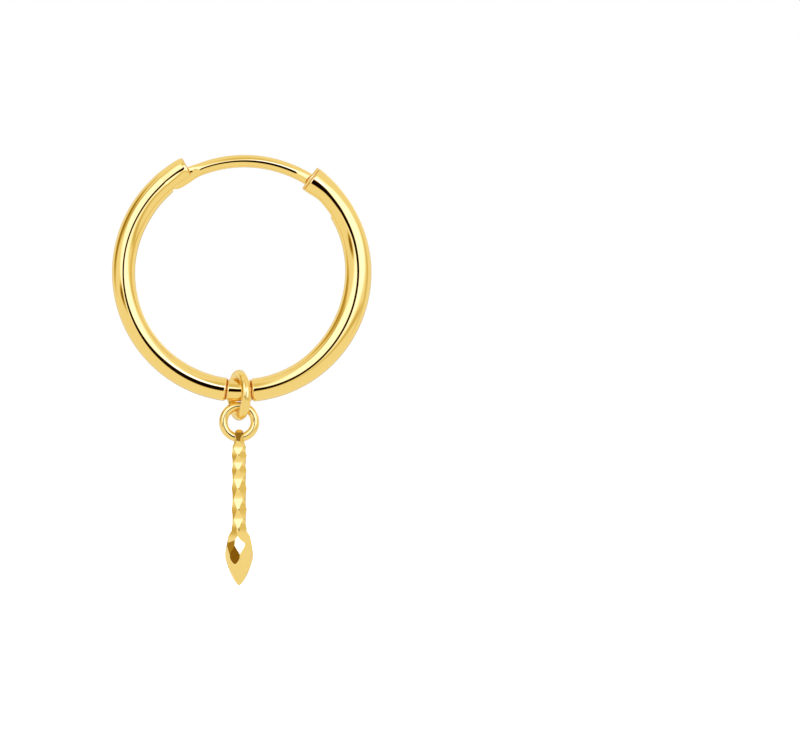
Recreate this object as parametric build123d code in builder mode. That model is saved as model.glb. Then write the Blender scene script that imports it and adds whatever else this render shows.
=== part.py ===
from build123d import *

import os
from math import atan, ceil, cos, degrees, radians, sin

# A hinged hoop earring with a diamond-cut drop hanging from its lowest point.
# The hoop stands in the XZ plane and faces -Y, with +X to the right. The origin is the
# middle of the ear wire, where the wire rests in the ear.

# Hoop tube: a hollow tube bent to most of a circle. Its outer edge keeps one radius, and
# the tube swells a little on the catch side. Angles run from +X towards +Z.
hoop_centre = (0.0, -6.665)
outline_radius = 7.77
tube_wall = 0.2
section_step = 11.0
tube_columns = ("angle", "thickness")
tube_table = (
    (117.3, 1.45),
    (150.0, 1.45),
    (176.0, 1.39),
    (280.0, 1.39),
    (300.0, 1.44),
    (315.0, 1.52),
    (330.0, 1.57),
    (350.0, 1.59),
    (370.0, 1.56),
    (390.0, 1.52),
    (404.0, 1.53),
    (409.0, 1.66),
    (414.3, 1.72),
)
hinge_mouth = tube_table[0][0]
catch_mouth = tube_table[-1][0]
mouth_rounding = 0.07

# Ear wire: round in the middle, hammered flat at both ends so that it fits the slots in
# the tube. Height is measured across the hoop's plane, width through it.
wire_centre = (0.16, -7.33)
wire_radius = 7.33
wire_step = 9.0
wire_columns = ("angle", "height", "width")
wire_table = (
    (50.2, 0.40, 0.26),
    (50.8, 0.62, 0.40),
    (52.0, 0.74, 0.44),
    (66.0, 0.75, 0.44),
    (70.0, 0.75, 0.75),
    (110.5, 0.75, 0.75),
    (114.5, 0.80, 0.44),
    (118.0, 0.94, 0.44),
    (123.5, 0.96, 0.44),
)

# Hinge: a pin through the tube carries the wire's rounded flat end.
hinge_angle = wire_table[-1][0]
knuckle_radius = 0.5
knuckle_rounding = 0.06
pin_radius = 0.2
pin_length = 1.16
pin_play = 0.03
pin_fit = 0.015

# Slots on the hoop's inner side let the flat ends swing inwards.
slot_width = 0.62
slot_past_mouth = 1.5
hinge_slot_end = 131.8
catch_slot_end = 392.0
slot_inner_radius = 5.8
slot_outer_radius = 6.95

# Seat: a slightly narrower stretch of the tube between two narrow grooves with rounded edges.
# The rounding stands a hair above the surface that it cuts, so that it leaves no feather edge.
hang_x = -0.15
seat_diameter = 1.30
groove_spacing = 1.50
groove_width = 0.10
groove_depth = 0.13
groove_rounding = 0.10
groove_feather = 0.004

# Rings and the play left between pieces that hang in each other.
hang_gap = 0.03
upper_wire = 0.57
upper_turn = 21.0
lower_wire = 0.52
lower_outer = 2.40

# Charm: a diamond-cut bar with an eye at the top and a faceted drop at the bottom.
bar_radius = 0.455
bar_flat = 0.37
eye_radius = 0.49
eye_hole_radius = 0.33
eye_half_width = 0.22
eye_flare_radius = 1.77
eye_front_tip = -16.80
eye_front_depth = 0.447
eye_front_slope = 0.12
bar_bottom = -22.10
bar_turn = -8.0
facet_columns = 4

# Rows of cuts down the bar: the height of the row's middle and how far each cut reaches
# above and below it. Even rows sit between the columns of the odd ones, and the columns of the
# odd rows lie at the front, back and sides but for bar_turn.
cut_columns = ("height", "reach")
cut_table = (
    (-16.72, 0.40),
    (-17.16, 0.43),
    (-17.62, 0.42),
    (-18.06, 0.44),
    (-18.47, 0.44),
    (-19.03, 0.56),
    (-19.60, 0.60),
    (-20.22, 0.62),
    (-20.86, 0.58),
    (-21.43, 0.54),
    (-21.94, 0.46),
)

# Drop: the turned outline of the blank, then rows of flats round it. Slope is how fast
# the flat widens per millimetre of height, so a negative one faces up.
drop_tip = -25.41
drop_columns = ("height", "radius")
drop_table = (
    (-22.00, 0.36),
    (-22.12, 0.44),
    (-22.45, 0.66),
    (-22.90, 0.79),
    (-23.47, 0.85),
    (-24.00, 0.79),
    (-24.60, 0.57),
    (-25.10, 0.30),
    (-25.36, 0.10),
)
drop_facets = 8
first_facet = 26.5
flat_columns = ("height", "radius", "slope")
flat_table = (
    (-22.32, 0.545, -0.52),
    (-22.93, 0.745, -0.19),
    (-23.56, 0.800, 0.05),
    (-24.22, 0.690, 0.34),
    (-24.84, 0.425, 0.50),
)


def on_circle(centre, radius, angle):
    """A point of the XZ plane on a circle about centre."""
    x = centre[0] + radius * cos(radians(angle))
    z = centre[1] + radius * sin(radians(angle))
    return (x, 0, z)


def section_plane(centre, radius, angle):
    """The plane across a bent bar: local x points away from the centre, local y along Y."""
    out = (cos(radians(angle)), 0, sin(radians(angle)))
    along = (-sin(radians(angle)), 0, cos(radians(angle)))
    return Plane(origin=on_circle(centre, radius, angle), x_dir=out, z_dir=along)


def stations(table, step):
    """The table's rows with even in-between rows wherever two are more than step apart."""
    rows = []
    for row, after in zip(table, table[1:]):
        count = ceil((after[0] - row[0]) / step)
        for i in range(count):
            rows.append(tuple(a + (b - a) * i / count for a, b in zip(row, after)))
    rows.append(table[-1])
    return rows


def groove_profile(plane, tube_radius, seat_radius):
    """Half the section of a groove: local x runs along the tube towards the seat, local y outwards."""
    edge = groove_width / 2
    reach = edge + groove_rounding
    sink = groove_rounding - groove_feather
    rim = tube_radius + groove_feather
    with BuildSketch(plane) as profile:
        with BuildLine():
            tube_edge = CenterArc((-reach, tube_radius - sink), groove_rounding, 90, -90)
            seat_edge = CenterArc((reach, seat_radius - sink), groove_rounding, 180, -90)
            bottom = Line((-edge, tube_radius - groove_depth), (edge, tube_radius - groove_depth))
            Line(tube_edge @ 1, bottom @ 0)
            Line(bottom @ 1, seat_edge @ 0)
            Polyline(seat_edge @ 1, (reach, 2 * rim), (-reach, 2 * rim), tube_edge @ 0)
        make_face()
    return profile.sketch


def slot_profile(start, end):
    """The side view of a slot on the hoop's inner side, between two hoop angles."""
    origin = (hoop_centre[0], hoop_centre[1])
    with BuildSketch(Plane.XZ) as profile:
        with BuildLine():
            deep = CenterArc(origin, slot_outer_radius, start, end - start)
            open_side = CenterArc(origin, slot_inner_radius, start, end - start)
            Line(deep @ 0, open_side @ 0)
            Line(deep @ 1, open_side @ 1)
        make_face()
    return profile.sketch


# Places worked out from the sizes above.
seat_angle = 270 + degrees(atan(hang_x / (outline_radius - tube_table[2][1] / 2)))
seat_path_radius = outline_radius - tube_table[2][1] / 2
seat_point = on_circle(hoop_centre, seat_path_radius, seat_angle)
seat_tube_radius = tube_table[2][1] / 2
groove_turn = degrees(groove_spacing / 2 / seat_path_radius)
hoop_axis = Axis((hoop_centre[0], 0, hoop_centre[1]), (0, 1, 0))
pin_point = on_circle(wire_centre, wire_radius, hinge_angle)

upper_inner_radius = (seat_diameter + lower_wire + 3 * hang_gap) / 2
upper_middle_radius = upper_inner_radius + upper_wire / 2
upper_z = seat_point[2] + seat_diameter / 2 + hang_gap - upper_inner_radius
lower_middle_radius = (lower_outer - lower_wire) / 2
lower_top_z = seat_point[2] - seat_diameter / 2 - hang_gap - lower_wire / 2
lower_z = lower_top_z - lower_middle_radius
eye_z = lower_z - lower_middle_radius

hinge_slot = slot_profile(hinge_mouth - slot_past_mouth, hinge_slot_end)
catch_slot = slot_profile(catch_slot_end, catch_mouth + slot_past_mouth)

# The hoop tube is solid at first, gets its seat and grooves, and is then bored and slotted.
with BuildPart() as hoop_tube:
    for angle, thickness in stations(tube_table, section_step):
        with BuildSketch(section_plane(hoop_centre, outline_radius - thickness / 2, angle)):
            Circle(thickness / 2)
    loft()
    for mouth in (hinge_mouth, catch_mouth):
        mouth_plane = section_plane(hoop_centre, outline_radius, mouth)
        fillet(hoop_tube.edges().filter_by(lambda edge: mouth_plane.contains(edge @ 0.3)), mouth_rounding)
    with BuildSketch(section_plane(hoop_centre, seat_path_radius, seat_angle - groove_turn)):
        Circle(seat_diameter)
        Circle(seat_diameter / 2, mode=Mode.SUBTRACT)
    revolve(axis=hoop_axis, revolution_arc=-2 * groove_turn, mode=Mode.SUBTRACT)
    for side in (-1, 1):
        groove = section_plane(hoop_centre, seat_path_radius, seat_angle + side * groove_turn)
        section = Plane(origin=groove.origin, x_dir=-side * groove.z_dir, z_dir=side * groove.y_dir)
        profile = groove_profile(section, seat_tube_radius, seat_diameter / 2)
        revolve(profile, axis=Axis(groove.origin, groove.z_dir), mode=Mode.SUBTRACT)
    for angle, thickness in stations(tube_table, section_step):
        with BuildSketch(section_plane(hoop_centre, outline_radius - thickness / 2, angle)):
            Circle(thickness / 2 - tube_wall)
    loft(mode=Mode.SUBTRACT)
    extrude(hinge_slot, amount=slot_width / 2, both=True, mode=Mode.SUBTRACT)
    extrude(catch_slot, amount=slot_width / 2, both=True, mode=Mode.SUBTRACT)
    with Locations(Plane(origin=pin_point, z_dir=(0, 1, 0))):
        Cylinder(pin_radius + pin_fit, 2 * outline_radius, mode=Mode.SUBTRACT)

# The ear wire is skinned through flat and round sections and ends in a bored knuckle.
with BuildPart() as ear_wire:
    with Locations(Plane(origin=pin_point, z_dir=(0, 1, 0))):
        Cylinder(knuckle_radius, wire_table[-1][2])
    fillet(ear_wire.edges().filter_by(GeomType.CIRCLE), knuckle_rounding)
    for angle, height, width in stations(wire_table, wire_step):
        with BuildSketch(section_plane(wire_centre, wire_radius, angle)):
            Ellipse(height / 2, width / 2)
    loft()
    with Locations(Plane(origin=pin_point, z_dir=(0, 1, 0))):
        Cylinder(pin_radius + pin_play, 2 * wire_table[-1][2], mode=Mode.SUBTRACT)

with BuildPart() as hinge_pin:
    with Locations(Plane(origin=pin_point, z_dir=(0, 1, 0))):
        Cylinder(pin_radius, pin_length)

# The upper ring goes round the seat. It hangs a little turned, its front to the right.
upper_axis = (cos(radians(upper_turn)), sin(radians(upper_turn)), 0)
with BuildPart() as upper_jump_ring:
    with Locations(Plane(origin=(hang_x, 0, upper_z), z_dir=upper_axis)):
        Torus(upper_middle_radius, upper_wire / 2)

# The lower ring passes through the upper one and lies in the hoop's plane.
with BuildPart() as lower_jump_ring:
    with Locations(Plane(origin=(hang_x, 0, lower_z), z_dir=(0, 1, 0))):
        Torus(lower_middle_radius, lower_wire / 2)

# The charm: the drop is turned and cut flat first, then the bar is added and cut.
with BuildPart() as charm:
    with BuildSketch(Plane.XZ):
        with BuildLine():
            outline = Spline([(hang_x + radius, height) for height, radius in drop_table])
            Line(outline @ 1, (hang_x, drop_tip))
            Line((hang_x, drop_tip), (hang_x, drop_table[0][0]))
            Line((hang_x, drop_table[0][0]), outline @ 0)
        make_face()
    revolve(axis=Axis((hang_x, 0, 0), (0, 0, 1)))
    for row, (height, radius, slope) in enumerate(flat_table):
        for i in range(drop_facets):
            turn = radians(first_facet + (i + row / 2) * 360 / drop_facets)
            out = Vector(cos(turn), sin(turn), 0)
            flat = Plane(
                origin=Vector(hang_x, 0, height) + out * radius,
                z_dir=out - Vector(0, 0, slope),
            )
            split(bisect_by=flat, keep=Keep.BOTTOM)
    with Locations((hang_x, 0, bar_bottom)):
        Cylinder(bar_radius, eye_z - bar_bottom, align=(Align.CENTER, Align.CENTER, Align.MIN))
    with Locations((hang_x, 0, eye_z)):
        Cylinder(eye_radius, 2 * bar_radius, rotation=(0, 90, 0))
    for row, (height, reach) in enumerate(cut_table):
        cutter = reach**2 / 2 / (bar_radius - bar_flat)
        start = bar_turn + (row + 1) * 180 / facet_columns
        with Locations((hang_x, 0, height)):
            with PolarLocations(bar_flat + cutter, facet_columns, start_angle=start):
                Cylinder(cutter, 3 * bar_radius, rotation=(90, 0, 0), mode=Mode.SUBTRACT)
    with Locations((hang_x, 0, eye_z + eye_radius / 2)):
        with PolarLocations(eye_half_width + eye_flare_radius, 2):
            Cylinder(eye_flare_radius, 3 * eye_radius, rotation=(90, 0, 0), mode=Mode.SUBTRACT)
    for side in (-1, 1):
        face = Plane(origin=(hang_x, side * eye_front_depth, eye_front_tip), z_dir=(0, side, eye_front_slope))
        split(bisect_by=face, keep=Keep.BOTTOM)
    with Locations((hang_x, 0, eye_z)):
        Cylinder(eye_hole_radius, 4 * bar_radius, rotation=(0, 90, 0), mode=Mode.SUBTRACT)

os.makedirs("parts", exist_ok=True)
nodes = {
    "hoop_tube": hoop_tube,
    "ear_wire": ear_wire,
    "hinge_pin": hinge_pin,
    "upper_jump_ring": upper_jump_ring,
    "lower_jump_ring": lower_jump_ring,
    "charm": charm,
}
for name, node in nodes.items():
    node.part.label = name
    export_step(node.part, f"parts/{name}.step")
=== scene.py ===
from math import atan2, ceil, cos, degrees, hypot, radians, sin

import bpy
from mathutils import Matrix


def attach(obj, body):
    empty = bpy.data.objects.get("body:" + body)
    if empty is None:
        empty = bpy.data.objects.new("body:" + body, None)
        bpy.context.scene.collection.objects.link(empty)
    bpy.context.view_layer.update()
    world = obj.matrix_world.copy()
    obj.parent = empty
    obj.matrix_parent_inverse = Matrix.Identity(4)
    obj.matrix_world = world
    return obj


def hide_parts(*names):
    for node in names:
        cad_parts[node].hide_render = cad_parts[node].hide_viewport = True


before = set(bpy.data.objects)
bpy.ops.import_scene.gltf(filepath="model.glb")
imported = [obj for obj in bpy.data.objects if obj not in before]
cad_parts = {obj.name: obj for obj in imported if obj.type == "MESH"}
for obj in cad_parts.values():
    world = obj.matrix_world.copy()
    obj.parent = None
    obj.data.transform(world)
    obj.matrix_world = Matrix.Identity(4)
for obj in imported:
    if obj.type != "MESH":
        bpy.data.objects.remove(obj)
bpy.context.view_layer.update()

# A hinged hoop earring of polished gold with a diamond-cut drop. Lengths are millimetres until
# a piece is finished, and angles round the hoop run from +X towards +Z.
millimetre = 0.001

# The hoop's tube keeps one outer radius and swells a little towards its catch.
hoop_centre = (0.0, -6.665)
outline_radius = 7.77
tube_wall = 0.2
tube_sides = 16
tube_step = 6.0
# Columns: angle, thickness.
tube_table = (
    (117.3, 1.45),
    (150.0, 1.45),
    (176.0, 1.39),
    (280.0, 1.39),
    (300.0, 1.44),
    (315.0, 1.52),
    (330.0, 1.57),
    (350.0, 1.59),
    (370.0, 1.56),
    (390.0, 1.52),
    (404.0, 1.53),
    (409.0, 1.66),
    (414.3, 1.72),
)
hinge_mouth = tube_table[0][0]
catch_mouth = tube_table[-1][0]

# The tube is a little flattened towards its catch and at its hinge, where it is also twisted a
# little. Both mouths are rounded, and a fine turned line runs round the catch end.
# Columns: angle, share of thickness in depth, twist.
form_table = (
    (117.3, 0.84, 12.0),
    (123.0, 0.86, 11.0),
    (128.0, 0.93, 6.0),
    (134.0, 1.04, 0.0),
    (185.0, 1.06, 0.0),
    (225.0, 1.0, 0.0),
    (300.0, 1.0, 0.0),
    (325.0, 0.95, 0.0),
    (350.0, 0.90, 0.0),
    (380.0, 0.88, 0.0),
    (404.0, 0.95, 0.0),
    (409.0, 0.875, 0.0),
    (414.3, 0.845, 0.0),
)
# Columns: distance from the mouth, depth.
mouth_table = (
    (0.0, 0.12),
    (0.03, 0.065),
    (0.09, 0.02),
    (0.2, 0.0),
    (0.4, 0.0),
)
# Columns: distance from the mouth, depth.
turned_table = (
    (0.0, 0.075),
    (0.03, 0.03),
    (0.08, 0.0),
    (0.13, 0.004),
    (0.16, 0.04),
    (0.20, 0.04),
    (0.23, 0.0),
    (0.29, -0.006),
    (0.42, 0.0),
)

# Two narrow grooves with rounded edges bound a slightly narrower seat for the upper ring.
hang_x = -0.15
seat_diameter = 1.30
seat_angle = 268.785
groove_spacing = 1.50
groove_path = outline_radius - tube_table[2][1] / 2
seat_turn = groove_spacing / 2 / groove_path
# Columns: distance from the groove's middle, depth.
groove_table = (
    (-0.22, 0.0),
    (-0.13, 0.0),
    (-0.085, 0.008),
    (-0.055, 0.03),
    (-0.035, 0.055),
    (-0.015, 0.065),
    (0.015, 0.065),
    (0.035, 0.055),
    (0.055, 0.03),
    (0.085, 0.008),
    (0.13, 0.0),
    (0.22, 0.0),
)

# Painted shade: a dark red-brown colour is painted into the grooves, into the turned line and along
# both mouths' edges, where shade falls.
# Columns: angle, half width, share.
painted_shade_table = (
    (262.71, 0.055, 0.9),
    (274.86, 0.055, 0.9),
    (412.85, 0.04, 0.7),
    (414.2, 0.05, 0.7),
    (117.4, 0.05, 0.5),
)
# Colour of the shade painted into the grooves, the turned line and the mouths' edges.
painted_shade_colour = (0.50, 0.15, 0.03)

# Slots on the inner side of both ends take the flat ends of the ear wire. A slot opens the
# tube's inner faces whose middles are within its reach of the hoop's middle plane.
# Columns: first angle, last angle, reach.
slot_table = (
    (117.0, 130.2, 0.3),
    (392.0, 414.6, 0.3),
)
slot_end_rows = (129.4, 130.2, 131.0, 391.2, 392.0, 393.2)

# The ear wire is nearly round in the middle, and hammered flat and a little twisted at its ends.
wire_centre = (0.16, -7.33)
wire_radius = 7.33
wire_sides = 16
wire_step = 4.0
# Columns: angle, height, depth, twist.
wire_table = (
    (50.2, 0.40, 0.24, -4.0),
    (50.8, 0.62, 0.36, -4.0),
    (52.0, 0.74, 0.41, -4.0),
    (57.0, 0.75, 0.42, -4.0),
    (64.5, 0.75, 0.70, 0.0),
    (111.5, 0.75, 0.70, 0.0),
    (113.0, 0.77, 0.60, 8.0),
    (114.3, 0.80, 0.44, 16.0),
    (116.0, 0.86, 0.42, 14.0),
    (118.5, 0.94, 0.40, 4.0),
    (123.5, 0.96, 0.40, 3.0),
    (125.4, 0.84, 0.39, 3.0),
    (126.7, 0.56, 0.36, 3.0),
    (127.3, 0.26, 0.26, 3.0),
)

# The hinge pin's two ends are filed off below the tube's surface and hidden inside it.
pin_place = (-3.8857, 0, -1.2176)
pin_radius = 0.2
pin_length = 0.8
pin_rounding = 0.04
pin_rounding_steps = 3
pin_sides = 48

# The two jump rings: wire thickness, middle radius and height of the middle.
upper_wire = 0.57
upper_middle_radius = 1.24
upper_z = -14.0134
upper_turn = 21.0
lower_wire = 0.52
lower_middle_radius = 0.94
lower_z = -15.6184
ring_length_sides = 128
ring_wire_sides = 48
solder_share = 0.985

# Charm: a bar with an eye at the top, cut in rows of concave flats, over a faceted drop.
bar_radius = 0.455
bar_flat = 0.37
bar_turn = -8.0
bar_bottom = -22.60
bar_sides = 96
eye_z = -16.5584
eye_radius = 0.49
eye_blank_length = 0.96
eye_hole_radius = 0.33
eye_half_width = 0.22
eye_flare_radius = 1.77
eye_sides = 128
eye_front_tip = -16.80
eye_front_depth = 0.447
eye_front_slope = 0.122
eye_dome_radius = 0.26
eye_dome_turns = (25.0, 50.0, 72.0)
eye_corner_height = -16.72
eye_corner_reach = 0.40
eye_corner_flat = 0.385
cutter_sides = 192
# Columns: height, reach.
cut_table = (
    (-17.16, 0.43),
    (-17.62, 0.42),
    (-18.06, 0.44),
    (-18.47, 0.44),
    (-19.03, 0.56),
    (-19.60, 0.60),
    (-20.22, 0.62),
    (-20.86, 0.58),
    (-21.43, 0.54),
    (-21.94, 0.46),
)
drop_tip = -25.41
drop_sides = 64
# Columns: height, radius.
drop_table = (
    (-22.00, 0.36),
    (-22.12, 0.44),
    (-22.28, 0.55),
    (-22.45, 0.66),
    (-22.66, 0.735),
    (-22.90, 0.79),
    (-23.18, 0.836),
    (-23.47, 0.85),
    (-23.74, 0.834),
    (-24.00, 0.79),
    (-24.30, 0.700),
    (-24.60, 0.57),
    (-24.86, 0.437),
    (-25.10, 0.30),
    (-25.36, 0.10),
)
drop_facets = 8
first_facet = 26.5
# Columns: height, radius, slope.
flat_table = (
    (-22.32, 0.575, -0.52),
    (-22.93, 0.735, -0.19),
    (-23.56, 0.785, 0.05),
    (-24.22, 0.690, 0.34),
    (-24.84, 0.425, 0.50),
)
facet_columns = 4
facet_turn = 360 / facet_columns
cutter_length = 3 * bar_radius

# Finish of every piece.
smoothing_levels = 2
smooth_edge_angle = 30.0
facet_edge_angle = 4.0
weld_distance = 0.0005
cut_tolerance = weld_distance / 50
unit_radius = 0.5


# Making pieces

def begin_piece(name):
    """Names the primitive just added, puts its place in its mesh and opens it for shaping."""
    piece = bpy.context.object
    piece.name = name
    piece.data.name = name
    bpy.ops.object.transform_apply(location=True, rotation=True, scale=True)
    bpy.ops.object.mode_set(mode="EDIT")
    bpy.ops.mesh.select_all(action="SELECT")
    return piece


def work_on(piece):
    """Makes the piece the only selected one."""
    bpy.ops.object.select_all(action="DESELECT")
    piece.select_set(True)
    bpy.context.view_layer.objects.active = piece


def add_step(piece, kind, **settings):
    """Adds a finishing step, sets it and applies it."""
    work_on(piece)
    step = piece.modifiers.new(kind.lower(), kind)
    for key, value in settings.items():
        setattr(step, key, value)
    bpy.ops.object.modifier_apply(modifier=step.name)


def swell(angle):
    """How much larger a polygon is drawn, so that smoothing brings it back to its size."""
    return 3 / (2 + cos(radians(angle)))


def draw_round(piece, centre, rows):
    """Draws the open section round centre. A row is angle, path radius, height, width and twist."""
    x, z = centre
    middle = (x, 0, z)
    angle, path, height, width, twist = 0, rows[0][1], 1, 1, 0
    for i, row in enumerate(rows):
        if i > 0:
            bpy.ops.mesh.extrude_region_move()
        bpy.ops.transform.rotate(value=radians(-angle), orient_axis="Y", center_override=middle)
        section = (x + path, 0, z)
        bpy.ops.transform.rotate(value=radians(-twist), orient_axis="Z", center_override=section)
        ratio = (row[2] / height, row[3] / width, 1)
        bpy.ops.transform.resize(value=ratio, center_override=section)
        bpy.ops.transform.translate(value=(row[1] - path, 0, 0))
        angle, path, height, width, twist = row
        section = (x + path, 0, z)
        bpy.ops.transform.rotate(value=radians(twist), orient_axis="Z", center_override=section)
        bpy.ops.transform.rotate(value=radians(angle), orient_axis="Y", center_override=middle)
    bpy.ops.object.mode_set(mode="OBJECT")


def stations(table, step):
    """The table's rows with even in-between rows wherever two are more than step apart."""
    rows = []
    for row, after in zip(table, table[1:]):
        count = ceil((after[0] - row[0]) / step)
        for i in range(count):
            rows.append(tuple(a + (b - a) * i / count for a, b in zip(row, after)))
    rows.append(table[-1])
    return rows


def turn_outwards(piece):
    """Turns all faces of a closed piece outwards."""
    work_on(piece)
    bpy.ops.object.mode_set(mode="EDIT")
    bpy.ops.mesh.select_all(action="SELECT")
    bpy.ops.mesh.remove_doubles(threshold=weld_distance)
    bpy.ops.mesh.normals_make_consistent(inside=False)
    bpy.ops.object.mode_set(mode="OBJECT")


def cut_away(piece, cutter):
    """Takes the cutter's shape out of the piece."""
    add_step(piece, "BOOLEAN", operation="DIFFERENCE", solver="EXACT", object=cutter)
    bpy.data.objects.remove(cutter)


def solder_on(piece, part):
    """Makes the part one solid with the piece."""
    add_step(piece, "BOOLEAN", operation="UNION", solver="EXACT", object=part)
    bpy.data.objects.remove(part)


def finish_piece(piece, body, node, material, edge_angle):
    """Brings the piece to metres, smooths its shading, gives it its material, hangs it on its body
    and hides the part it replaces.
    """
    work_on(piece)
    bpy.ops.object.mode_set(mode="EDIT")
    bpy.ops.mesh.select_all(action="SELECT")
    bpy.ops.transform.resize(value=(millimetre, millimetre, millimetre), center_override=(0, 0, 0))
    bpy.ops.object.mode_set(mode="OBJECT")
    bpy.ops.object.shade_smooth_by_angle(angle=radians(edge_angle))
    piece.data.materials.clear()
    piece.data.materials.append(material)
    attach(piece, body)
    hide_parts(node)


# Gold

gold_colour = (0.91, 0.66, 0.21)
shade_spread = 0.015
hairline_share = 0.5
hairline_stretch = (1.0, 14.0, 9.0)
hairline_turn = (0.3, 0.5, 0.9)
full_share = 0.4


def new_group(name, inputs, outputs):
    """An empty shader group. Its sockets are numbers, or vectors where a name ends in place."""
    group = bpy.data.node_groups.new(name, "ShaderNodeTree")
    for socket, side in [(s, "INPUT") for s in inputs] + [(s, "OUTPUT") for s in outputs]:
        kind = "NodeSocketVector" if socket.endswith("place") else "NodeSocketFloat"
        group.interface.new_socket(name=socket, in_out=side, socket_type=kind)
    return group, group.nodes.new("NodeGroupInput"), group.nodes.new("NodeGroupOutput")


def sum_node(tree, operation, first, second=None, third=None):
    """A math node. Each input is a number or another node's output."""
    node = tree.nodes.new("ShaderNodeMath")
    node.operation = operation
    for slot, value in zip(node.inputs, (first, second, third)):
        if isinstance(value, (int, float)):
            slot.default_value = value
        elif value is not None:
            tree.links.new(value, slot)
    return node.outputs[0]


def polish_marks_group():
    """Faint waves and hairlines that polishing leaves: their height, and where they are."""
    names = ("place", "wave size", "hairline size")
    group, given, result = new_group("polish_marks", names, ("wave", "hairline"))
    links = group.links
    wave = group.nodes.new("ShaderNodeTexNoise")
    wave.inputs["Detail"].default_value = 1.0
    links.new(given.outputs["place"], wave.inputs["Vector"])
    links.new(given.outputs["wave size"], wave.inputs["Scale"])
    links.new(wave.outputs["Fac"], result.inputs["wave"])
    stretch = group.nodes.new("ShaderNodeMapping")
    stretch.inputs["Scale"].default_value = hairline_stretch
    stretch.inputs["Rotation"].default_value = hairline_turn
    hairline = group.nodes.new("ShaderNodeTexNoise")
    hairline.inputs["Detail"].default_value = 3.0
    links.new(given.outputs["place"], stretch.inputs["Vector"])
    links.new(stretch.outputs["Vector"], hairline.inputs["Vector"])
    links.new(given.outputs["hairline size"], hairline.inputs["Scale"])
    links.new(hairline.outputs["Fac"], result.inputs["hairline"])
    return group


def painted_shade_group():
    """How much painted shade there is on the hoop round one angle, given in radians."""
    group, given, result = new_group("painted_shade_mask", ("place", "angle", "reach"), ("share",))
    parts = group.nodes.new("ShaderNodeSeparateXYZ")
    group.links.new(given.outputs["place"], parts.inputs["Vector"])
    rise = sum_node(group, "SUBTRACT", parts.outputs["Z"], hoop_centre[1] * millimetre)
    angle = sum_node(group, "ARCTAN2", rise, parts.outputs["X"])
    beyond = sum_node(group, "SUBTRACT", angle, given.outputs["angle"])
    away = sum_node(group, "ABSOLUTE", beyond)
    fade = group.nodes.new("ShaderNodeMapRange")
    fade.interpolation_type = "SMOOTHSTEP"
    group.links.new(away, fade.inputs["Value"])
    full = sum_node(group, "MULTIPLY", given.outputs["reach"], full_share)
    group.links.new(full, fade.inputs["From Min"])
    group.links.new(given.outputs["reach"], fade.inputs["From Max"])
    fade.inputs["To Min"].default_value = 1
    fade.inputs["To Max"].default_value = 0
    group.links.new(fade.outputs["Result"], result.inputs["share"])
    return group


def add_painted_shade(material):
    """Mixes the painted shade's dark colour into the material's own wherever the table says."""
    tree = material.node_tree
    shader = tree.nodes["Principled BSDF"]
    colour = shader.inputs["Base Color"].links[0].from_socket
    place = tree.nodes.new("ShaderNodeTexCoord")
    group = painted_shade_group()
    # Each row paints dark shade in a band round its angle.
    for angle, reach, share in painted_shade_table:
        painted_shade_node = tree.nodes.new("ShaderNodeGroup")
        painted_shade_node.node_tree = group
        painted_shade_node.inputs["angle"].default_value = radians((angle + 180) % 360 - 180)
        painted_shade_node.inputs["reach"].default_value = reach / groove_path
        tree.links.new(place.outputs["Object"], painted_shade_node.inputs["place"])
        mix = tree.nodes.new("ShaderNodeMix")
        mix.data_type = "RGBA"
        amount = sum_node(tree, "MULTIPLY", painted_shade_node.outputs["share"], share)
        tree.links.new(amount, mix.inputs["Factor"])
        tree.links.new(colour, mix.inputs["A"])
        mix.inputs["B"].default_value = (*painted_shade_colour, 1)
        colour = mix.outputs["Result"]
    tree.links.new(colour, shader.inputs["Base Color"])


def gold(name, wave_size, hairline_size, roughness, wave_height):
    """A gold with its own amount of polish marks."""
    material = bpy.data.materials.new(name)
    material.use_nodes = True
    tree = material.node_tree
    shader = tree.nodes["Principled BSDF"]
    shader.inputs["Metallic"].default_value = 1.0
    place = tree.nodes.new("ShaderNodeTexCoord")
    polish = tree.nodes.new("ShaderNodeGroup")
    polish.node_tree = marks
    polish.inputs["wave size"].default_value = wave_size
    polish.inputs["hairline size"].default_value = hairline_size
    tree.links.new(place.outputs["Object"], polish.inputs["place"])
    shade = tree.nodes.new("ShaderNodeMix")
    shade.data_type = "RGBA"
    shade.inputs["A"].default_value = (*((1 - shade_spread) * c for c in gold_colour), 1)
    shade.inputs["B"].default_value = (*((1 + shade_spread) * c for c in gold_colour), 1)
    tree.links.new(polish.outputs["wave"], shade.inputs["Factor"])
    tree.links.new(shade.outputs["Result"], shader.inputs["Base Color"])
    least = (1 - hairline_share / 2) * roughness
    extra = hairline_share * roughness
    spread = sum_node(tree, "MULTIPLY_ADD", polish.outputs["hairline"], extra, least)
    tree.links.new(spread, shader.inputs["Roughness"])
    height = sum_node(tree, "MULTIPLY", polish.outputs["wave"], wave_height)
    bump = tree.nodes.new("ShaderNodeBump")
    bump.inputs["Distance"].default_value = millimetre
    tree.links.new(height, bump.inputs["Height"])
    tree.links.new(bump.outputs["Normal"], shader.inputs["Normal"])
    return material


marks = polish_marks_group()
polished_gold = gold(
    "polished_gold", wave_size=900, hairline_size=2500, roughness=0.06, wave_height=0.0006
)
# The tube's gold, with shade painted into its grooves, turned line and mouths' edges.
grooved_gold = gold(
    "grooved_gold", wave_size=900, hairline_size=2500, roughness=0.06, wave_height=0.0006
)
add_painted_shade(grooved_gold)
drawn_gold = gold(
    "drawn_gold", wave_size=900, hairline_size=2500, roughness=0.14, wave_height=0.0006
)
cut_gold = gold("cut_gold", wave_size=1500, hairline_size=5000, roughness=0.05, wave_height=0.0002)


# Hoop tube

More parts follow.
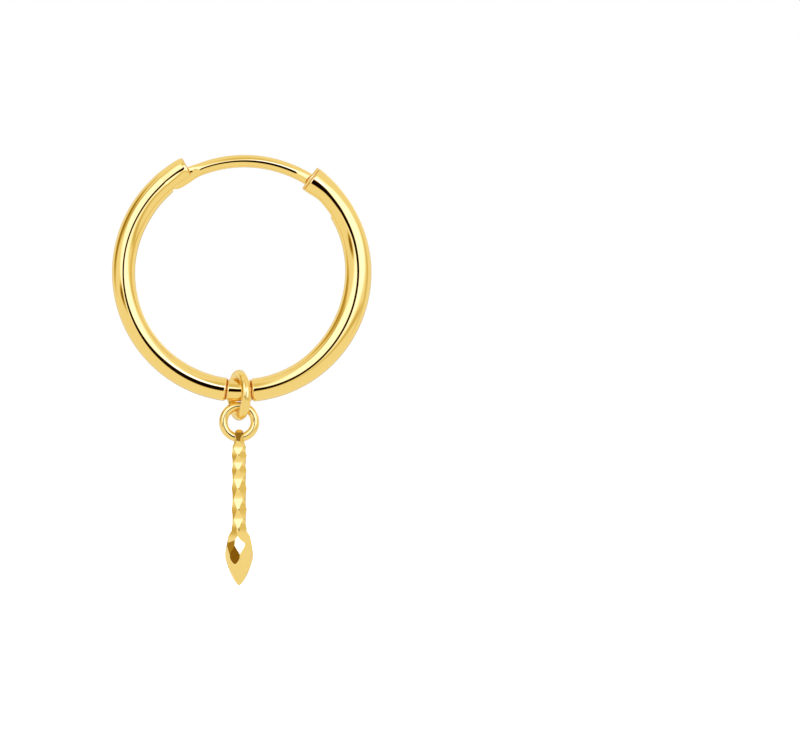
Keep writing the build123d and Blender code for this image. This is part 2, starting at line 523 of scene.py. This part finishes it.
def between(table, place, column=1):
    """The value in a table's column at an angle or distance, which its first column holds."""
    for row, after in zip(table, table[1:]):
        if row[0] <= place <= after[0]:
            step = (place - row[0]) / (after[0] - row[0])
            return row[column] + (after[column] - row[column]) * step
    return table[-1][column]


def hoop_rows():
    """Angle, path radius, height, width and twist of each ring of the hoop's tube."""
    grooves = [seat_angle - degrees(seat_turn), seat_angle + degrees(seat_turn)]
    edge = degrees(groove_table[-1][0] / groove_path)
    angles = [hinge_mouth + degrees(distance / groove_path) for distance, depth in mouth_table[1:]]
    for distance, depth in turned_table[1:]:
        angles.append(catch_mouth - degrees(distance / groove_path))
    for angle, thickness in stations(tube_table, tube_step):
        near = [abs(angle - groove) < 2 * edge for groove in grooves]
        near += [abs(angle - row) < 2 * edge for row in slot_end_rows]
        if not any(near):
            angles.append(angle)
    for groove in grooves:
        angles += [groove + degrees(distance / groove_path) for distance, depth in groove_table]
    angles = sorted(angles + list(slot_end_rows))
    result = []
    for i, angle in enumerate(angles):
        before = angle - angles[max(i - 1, 0)]
        after = angles[min(i + 1, len(angles) - 1)] - angle
        path_swell = 6 / (4 + cos(radians(before)) + cos(radians(after)))
        radius = (outline_radius - between(tube_table, angle) / 2) * path_swell
        size = tube_thickness(angle) * swell(360 / tube_sides)
        share = between(form_table, angle)
        twist = between(form_table, angle, 2)
        result.append((angle, radius, size, size * share, twist))
    return result


def tube_thickness(angle):
    """Thickness of the hoop's tube at an angle, with its mouths, turned line, seat and grooves."""
    thickness = between(tube_table, angle)
    ends = ((mouth_table, angle - hinge_mouth), (turned_table, catch_mouth - angle))
    for table, from_mouth in ends:
        distance = radians(from_mouth) * groove_path
        if distance < table[-1][0]:
            thickness -= 2 * between(table, distance)
    along = radians(angle - seat_angle) * groove_path
    if abs(along) < groove_spacing / 2:
        thickness = seat_diameter
    for side in (-1, 1):
        across = along - side * groove_spacing / 2
        if abs(across) <= groove_table[-1][0]:
            thickness -= 2 * between(groove_table, across)
    return thickness


bpy.ops.object.select_all(action="DESELECT")
rows = hoop_rows()
start = (hoop_centre[0] + rows[0][1], 0, hoop_centre[1])
bpy.ops.mesh.primitive_circle_add(vertices=tube_sides, radius=unit_radius, location=start)
tube = begin_piece("bent_tube")
draw_round(tube, hoop_centre, rows)
turn_outwards(tube)
bpy.ops.object.mode_set(mode="EDIT")
bpy.ops.mesh.select_mode(type="FACE")
bpy.ops.mesh.select_all(action="DESELECT")
bpy.ops.object.mode_set(mode="OBJECT")
for face in tube.data.polygons:
    x, y, z = face.center
    angle = degrees(atan2(z - hoop_centre[1], x - hoop_centre[0])) % 360
    if angle < hinge_mouth:
        angle += 360
    middle = outline_radius - between(tube_table, angle) / 2
    inner = hypot(x - hoop_centre[0], z - hoop_centre[1]) < middle
    opened = [first < angle < last and abs(y) < reach for first, last, reach in slot_table]
    face.select = inner and any(opened)
bpy.ops.object.mode_set(mode="EDIT")
bpy.ops.mesh.delete(type="FACE")
bpy.ops.mesh.select_mode(type="VERT")
bpy.ops.object.mode_set(mode="OBJECT")
add_step(tube, "SOLIDIFY", thickness=tube_wall, offset=-1)
add_step(tube, "SUBSURF", levels=smoothing_levels, render_levels=smoothing_levels)
finish_piece(tube, "hoop", "hoop_tube", grooved_gold, smooth_edge_angle)

# Ear wire
size = swell(360 / wire_sides)
start = (wire_centre[0] + wire_radius, 0, wire_centre[1])
bpy.ops.object.select_all(action="DESELECT")
bpy.ops.mesh.primitive_circle_add(
    vertices=wire_sides, radius=unit_radius, fill_type="NGON", location=start
)
wire = begin_piece("ear_wire_bar")
rows = [(a, wire_radius, size * h, size * w, t) for a, h, w, t in stations(wire_table, wire_step)]
draw_round(wire, wire_centre, rows)
turn_outwards(wire)
add_step(wire, "SUBSURF", levels=smoothing_levels, render_levels=smoothing_levels)
finish_piece(wire, "ear_wire", "ear_wire", polished_gold, smooth_edge_angle)

bpy.ops.object.select_all(action="DESELECT")
bpy.ops.mesh.primitive_cylinder_add(
    vertices=pin_sides,
    radius=pin_radius,
    depth=pin_length,
    location=pin_place,
    rotation=(radians(90), 0, 0),
)
pin = begin_piece("filed_pin")
bpy.ops.object.mode_set(mode="OBJECT")
add_step(pin, "BEVEL", width=pin_rounding, segments=pin_rounding_steps, limit_method="ANGLE")
finish_piece(pin, "hoop", "hinge_pin", polished_gold, smooth_edge_angle)


# Jump rings

def jump_ring(name, middle_radius, thickness, place, turn, body, node):
    """A closed ring of round wire with a filed solder joint, seen as a faint waist."""
    bpy.ops.object.select_all(action="DESELECT")
    bpy.ops.mesh.primitive_torus_add(
        major_segments=ring_length_sides,
        minor_segments=ring_wire_sides,
        major_radius=middle_radius,
        minor_radius=thickness / 2,
        location=place,
        rotation=turn,
    )
    ring = begin_piece(name)
    bpy.ops.mesh.select_all(action="DESELECT")
    bpy.ops.object.mode_set(mode="OBJECT")
    for point in ring.data.vertices[:ring_wire_sides]:
        point.select = True
    bpy.ops.object.mode_set(mode="EDIT")
    bpy.ops.transform.resize(value=(solder_share, solder_share, solder_share))
    bpy.ops.object.mode_set(mode="OBJECT")
    turn_outwards(ring)
    finish_piece(ring, body, node, drawn_gold, smooth_edge_angle)


jump_ring(
    "ring_on_the_hoop",
    upper_middle_radius,
    upper_wire,
    (hang_x, 0, upper_z),
    (0, radians(90), radians(upper_turn)),
    "upper_ring",
    "upper_jump_ring",
)
jump_ring(
    "ring_of_the_charm",
    lower_middle_radius,
    lower_wire,
    (hang_x, 0, lower_z),
    (radians(90), 0, 0),
    "lower_ring",
    "lower_jump_ring",
)


# Charm

def round_bar(name, radius, length, sides, place, turn):
    """A plain round bar that is to be cut, or that cuts."""
    bpy.ops.object.select_all(action="DESELECT")
    bpy.ops.mesh.primitive_cylinder_add(
        vertices=sides, radius=radius, depth=length, location=place, rotation=turn
    )
    bar = begin_piece(name)
    bpy.ops.object.mode_set(mode="OBJECT")
    return bar


def turned_drop():
    """The drop's blank, drawn down from its top, then cut in rows of flats."""
    bpy.ops.object.select_all(action="DESELECT")
    height, radius = drop_table[0]
    bpy.ops.mesh.primitive_circle_add(
        vertices=drop_sides, radius=radius, fill_type="NGON", location=(hang_x, 0, height)
    )
    drop = begin_piece("faceted_drop")
    for low, wide in drop_table[1:]:
        bpy.ops.mesh.extrude_region_move()
        bpy.ops.transform.translate(value=(0, 0, low - height))
        ratio = (wide / radius, wide / radius, 1)
        bpy.ops.transform.resize(value=ratio, center_override=(hang_x, 0, low))
        height, radius = low, wide
    bpy.ops.mesh.extrude_region_move()
    bpy.ops.transform.translate(value=(0, 0, drop_tip - height))
    bpy.ops.mesh.merge(type="CENTER")
    for row, (level, reach, slope) in enumerate(flat_table):
        for i in range(drop_facets):
            turn = radians(first_facet + (i + row / 2) * 360 / drop_facets)
            out = (cos(turn), sin(turn))
            bpy.ops.mesh.select_all(action="SELECT")
            bpy.ops.mesh.bisect(
                plane_co=(hang_x + out[0] * reach, out[1] * reach, level),
                plane_no=(out[0], out[1], -slope),
                use_fill=True,
                clear_outer=True,
                threshold=cut_tolerance,
            )
    bpy.ops.mesh.select_all(action="SELECT")
    bpy.ops.mesh.remove_doubles(threshold=weld_distance)
    bpy.ops.mesh.fill_holes(sides=0)
    bpy.ops.object.mode_set(mode="OBJECT")
    turn_outwards(drop)
    return drop


def scoop(height, reach, flat, turn):
    """Cuts one concave flat into the charm, flat away from its axis and reach up and down."""
    cutter_radius = reach**2 / 2 / (bar_radius - flat)
    out = flat + cutter_radius
    angle = radians(turn)
    place = (hang_x + out * cos(angle), out * sin(angle), height)
    lying = (radians(90), 0, angle)
    cutter = round_bar("cutter", cutter_radius, cutter_length, cutter_sides, place, lying)
    cut_away(charm, cutter)


middle = (hang_x, 0, (eye_z + bar_bottom) / 2)
charm = round_bar("cut_charm", bar_radius, eye_z - bar_bottom, bar_sides, middle, (0, 0, 0))
across = (0, radians(90), 0)
eye = round_bar("eye", eye_radius, eye_blank_length, eye_sides, (hang_x, 0, eye_z), across)
solder_on(charm, eye)
solder_on(charm, turned_drop())
for row, (height, reach) in enumerate(cut_table):
    for column in range(facet_columns):
        scoop(height, reach, bar_flat, bar_turn + facet_turn * column + facet_turn / 2 * (row % 2))
for side in (-1, 1):
    place = (hang_x + side * (eye_half_width + eye_flare_radius), 0, eye_z + eye_radius / 2)
    turn = (radians(90), 0, 0)
    cutter = round_bar("cutter", eye_flare_radius, 3 * eye_radius, cutter_sides, place, turn)
    cut_away(charm, cutter)
for column in range(facet_columns):
    turn = bar_turn + facet_turn * column + facet_turn / 2
    scoop(eye_corner_height, eye_corner_reach, eye_corner_flat, turn)
work_on(charm)
bpy.ops.object.mode_set(mode="EDIT")
for side in (-1, 1):
    bpy.ops.mesh.select_all(action="SELECT")
    bpy.ops.mesh.bisect(
        plane_co=(hang_x, side * eye_front_depth, eye_front_tip),
        plane_no=(0, side, eye_front_slope),
        use_fill=True,
        clear_outer=True,
        threshold=cut_tolerance,
    )
    for turn in eye_dome_turns:
        out = (side * cos(radians(turn)), sin(radians(turn)))
        dome_z = eye_z + eye_radius - eye_dome_radius
        bpy.ops.mesh.select_all(action="SELECT")
        bpy.ops.mesh.bisect(
            plane_co=(hang_x + eye_dome_radius * out[0], 0, dome_z + eye_dome_radius * out[1]),
            plane_no=(out[0], 0, out[1]),
            use_fill=True,
            clear_outer=True,
            threshold=cut_tolerance,
        )
bpy.ops.object.mode_set(mode="OBJECT")
hole = round_bar("hole", eye_hole_radius, 4 * bar_radius, eye_sides, (hang_x, 0, eye_z), across)
cut_away(charm, hole)
turn_outwards(charm)
finish_piece(charm, "charm", "charm", cut_gold, facet_edge_angle)


# Studio: a plain pale floor, and light from all round with brighter and darker ovals in it.

floor_height = -0.04
floor_size = 4.0
background_white = 1.0
paper_shade = 0.9
paper_glow = 0.5

bpy.ops.object.select_all(action="DESELECT")
bpy.ops.mesh.primitive_plane_add(size=floor_size, location=(0, 0, floor_height))
floor = bpy.context.object
floor.name = "floor"
floor.visible_glossy = False
floor.visible_diffuse = False
paper = bpy.data.materials.new("pale_paper")
paper.use_nodes = True
tree = paper.node_tree
shader = tree.nodes["Principled BSDF"]
shader.inputs["Base Color"].default_value = (paper_shade, paper_shade, paper_shade, 1)
shader.inputs["Roughness"].default_value = 1.0
shader.inputs["Specular IOR Level"].default_value = 0.0
shader.inputs["Emission Color"].default_value = (1, 1, 1, 1)
shader.inputs["Emission Strength"].default_value = paper_glow
facing = tree.nodes.new("ShaderNodeNewGeometry")
clear = tree.nodes.new("ShaderNodeBsdfTransparent")
either = tree.nodes.new("ShaderNodeMixShader")
tree.links.new(facing.outputs["Backfacing"], either.inputs["Fac"])
tree.links.new(shader.outputs["BSDF"], either.inputs[1])
tree.links.new(clear.outputs["BSDF"], either.inputs[2])
tree.links.new(either.outputs["Shader"], tree.nodes["Material Output"].inputs["Surface"])
floor.data.materials.append(paper)


panel_columns = ("right", "up", "turn", "half length", "half height", "softness")


def panel_group():
    """A soft oval of light or shade on the chart of directions round the camera, in degrees."""
    group, given, result = new_group("soft_oval", ("place", *panel_columns), ("share",))
    centre = group.nodes.new("ShaderNodeCombineXYZ")
    group.links.new(given.outputs["right"], centre.inputs["X"])
    group.links.new(given.outputs["up"], centre.inputs["Y"])
    offset = group.nodes.new("ShaderNodeVectorMath")
    offset.operation = "SUBTRACT"
    group.links.new(given.outputs["place"], offset.inputs[0])
    group.links.new(centre.outputs["Vector"], offset.inputs[1])
    turned = group.nodes.new("ShaderNodeVectorRotate")
    turned.rotation_type = "Z_AXIS"
    angle = sum_node(group, "MULTIPLY", given.outputs["turn"], radians(-1))
    group.links.new(offset.outputs["Vector"], turned.inputs["Vector"])
    group.links.new(angle, turned.inputs["Angle"])
    parts = group.nodes.new("ShaderNodeSeparateXYZ")
    group.links.new(turned.outputs["Vector"], parts.inputs["Vector"])
    along = sum_node(group, "DIVIDE", parts.outputs["X"], given.outputs["half length"])
    across = sum_node(group, "DIVIDE", parts.outputs["Y"], given.outputs["half height"])
    along_squared = sum_node(group, "MULTIPLY", along, along)
    reach = sum_node(group, "SQRT", sum_node(group, "MULTIPLY_ADD", across, across, along_squared))
    low = sum_node(group, "SUBTRACT", 1, given.outputs["softness"])
    high = sum_node(group, "ADD", 1, given.outputs["softness"])
    fade = group.nodes.new("ShaderNodeMapRange")
    fade.interpolation_type = "SMOOTHSTEP"
    group.links.new(reach, fade.inputs["Value"])
    group.links.new(low, fade.inputs["From Min"])
    group.links.new(high, fade.inputs["From Max"])
    fade.inputs["To Min"].default_value = 1
    fade.inputs["To Max"].default_value = 0
    group.links.new(fade.outputs["Result"], result.inputs["share"])
    return group


# Ovals on the chart of directions, the later over the earlier, in degrees from the camera's side.
# Columns: right, up, turn, half length, half height, softness, brightness.
panel_table = (
    (0.0, 0.0, 0.0, 148.0, 148.0, 0.10, 0.98),
    (80.0, -2.0, 90.0, 34.0, 9.0, 0.60, 0.66),
    (40.0, -18.0, -4.0, 34.0, 5.0, 0.60, 0.62),
    (-88.0, 33.0, 70.0, 42.0, 16.0, 0.50, 0.25),
    (-60.0, 33.0, 60.0, 14.0, 7.0, 0.60, 0.50),
    (28.0, 14.0, 10.0, 36.0, 23.0, 0.30, 1.60),
    (-27.0, 22.0, -40.0, 34.0, 20.0, 0.30, 1.55),
    (0.0, 48.0, 0.0, 14.0, 22.0, 0.50, 0.72),
    (-34.0, -6.0, 8.0, 13.0, 3.4, 0.60, 0.13),
    (-51.0, 43.0, 50.0, 22.0, 4.5, 0.50, 0.45),
    (-1.0, 0.0, 68.0, 21.0, 8.0, 0.20, 0.0003),
    (9.0, 24.0, 0.0, 10.0, 8.0, 0.30, 2.2),
)
rest_brightness = 0.58

# The same on a chart of directions round the opposite of the camera's, for the back.
back_table = (
    (10.0, 14.0, 20.0, 26.0, 13.0, 0.40, 1.5),
    (0.0, 0.0, 68.0, 17.0, 7.0, 0.25, 0.01),
)
tint_powers = (0.7, 1.0, 2.2)
smallest_ring = 0.0001

world = bpy.data.worlds.new("studio")
bpy.context.scene.world = world
world.use_nodes = True
tree = world.node_tree
tree.nodes.clear()
direction = tree.nodes.new("ShaderNodeTexCoord")
split = tree.nodes.new("ShaderNodeSeparateXYZ")
tree.links.new(direction.outputs["Generated"], split.inputs["Vector"])
x, z = split.outputs["X"], split.outputs["Z"]
x_squared = sum_node(tree, "MULTIPLY", x, x)
ring = sum_node(tree, "SQRT", sum_node(tree, "MULTIPLY_ADD", z, z, x_squared))
towards = sum_node(tree, "MULTIPLY", split.outputs["Y"], -1)
away = sum_node(tree, "MULTIPLY", sum_node(tree, "ARCTAN2", ring, towards), degrees(1))
ring = sum_node(tree, "MAXIMUM", ring, smallest_ring)
charts = []
for distance in (away, sum_node(tree, "SUBTRACT", 180, away)):
    stretch = sum_node(tree, "DIVIDE", distance, ring)
    chart = tree.nodes.new("ShaderNodeCombineXYZ")
    tree.links.new(sum_node(tree, "MULTIPLY", x, stretch), chart.inputs["X"])
    tree.links.new(sum_node(tree, "MULTIPLY", z, stretch), chart.inputs["Y"])
    charts.append(chart.outputs["Vector"])
oval = panel_group()
light = rest_brightness
ovals = [(charts[0], row) for row in panel_table] + [(charts[1], row) for row in back_table]
for chart, row in ovals:
    panel = tree.nodes.new("ShaderNodeGroup")
    panel.node_tree = oval
    tree.links.new(chart, panel.inputs["place"])
    for name, value in zip(panel_columns, row):
        panel.inputs[name].default_value = value
    mix = tree.nodes.new("ShaderNodeMix")
    mix.data_type = "FLOAT"
    tree.links.new(panel.outputs["share"], mix.inputs["Factor"])
    if isinstance(light, float):
        mix.inputs["A"].default_value = light
    else:
        tree.links.new(light, mix.inputs["A"])
    mix.inputs["B"].default_value = row[-1]
    light = mix.outputs["Result"]
tinted = tree.nodes.new("ShaderNodeCombineColor")
for channel, power in zip(("Red", "Green", "Blue"), tint_powers):
    tree.links.new(sum_node(tree, "POWER", light, power), tinted.inputs[channel])
seen = tree.nodes.new("ShaderNodeLightPath")
paint = tree.nodes.new("ShaderNodeMix")
paint.data_type = "RGBA"
tree.links.new(seen.outputs["Is Camera Ray"], paint.inputs["Factor"])
tree.links.new(tinted.outputs["Color"], paint.inputs["A"])
paint.inputs["B"].default_value = (background_white, background_white, background_white, 1)
glow = tree.nodes.new("ShaderNodeBackground")
tree.links.new(paint.outputs["Result"], glow.inputs["Color"])
output = tree.nodes.new("ShaderNodeOutputWorld")
tree.links.new(glow.outputs["Background"], output.inputs["Surface"])
bpy.context.scene.view_settings.view_transform = "Standard"

# Camera: straight on, far off with a long lens, so that the earring has its place in the photo.
photo_width = 800
photo_height = 731
pixels_to_millimetre = 16.7
origin_pixel = (241.7, 161.0)
camera_distance = 0.4
sensor_width = 36.0
nearest_seen = 0.01
farthest_seen = 10.0
camera_data = bpy.data.cameras.new("camera")
camera = bpy.data.objects.new("camera", camera_data)
bpy.context.scene.collection.objects.link(camera)
camera_data.sensor_width = sensor_width
seen_width = photo_width / pixels_to_millimetre * millimetre
camera_data.lens = sensor_width * camera_distance / seen_width
camera_data.clip_start = nearest_seen
camera_data.clip_end = farthest_seen
camera.location = (
    (photo_width / 2 - origin_pixel[0]) / pixels_to_millimetre * millimetre,
    -camera_distance,
    (origin_pixel[1] - photo_height / 2) / pixels_to_millimetre * millimetre,
)
camera.rotation_euler = (radians(90), 0, 0)
bpy.context.scene.camera = camera
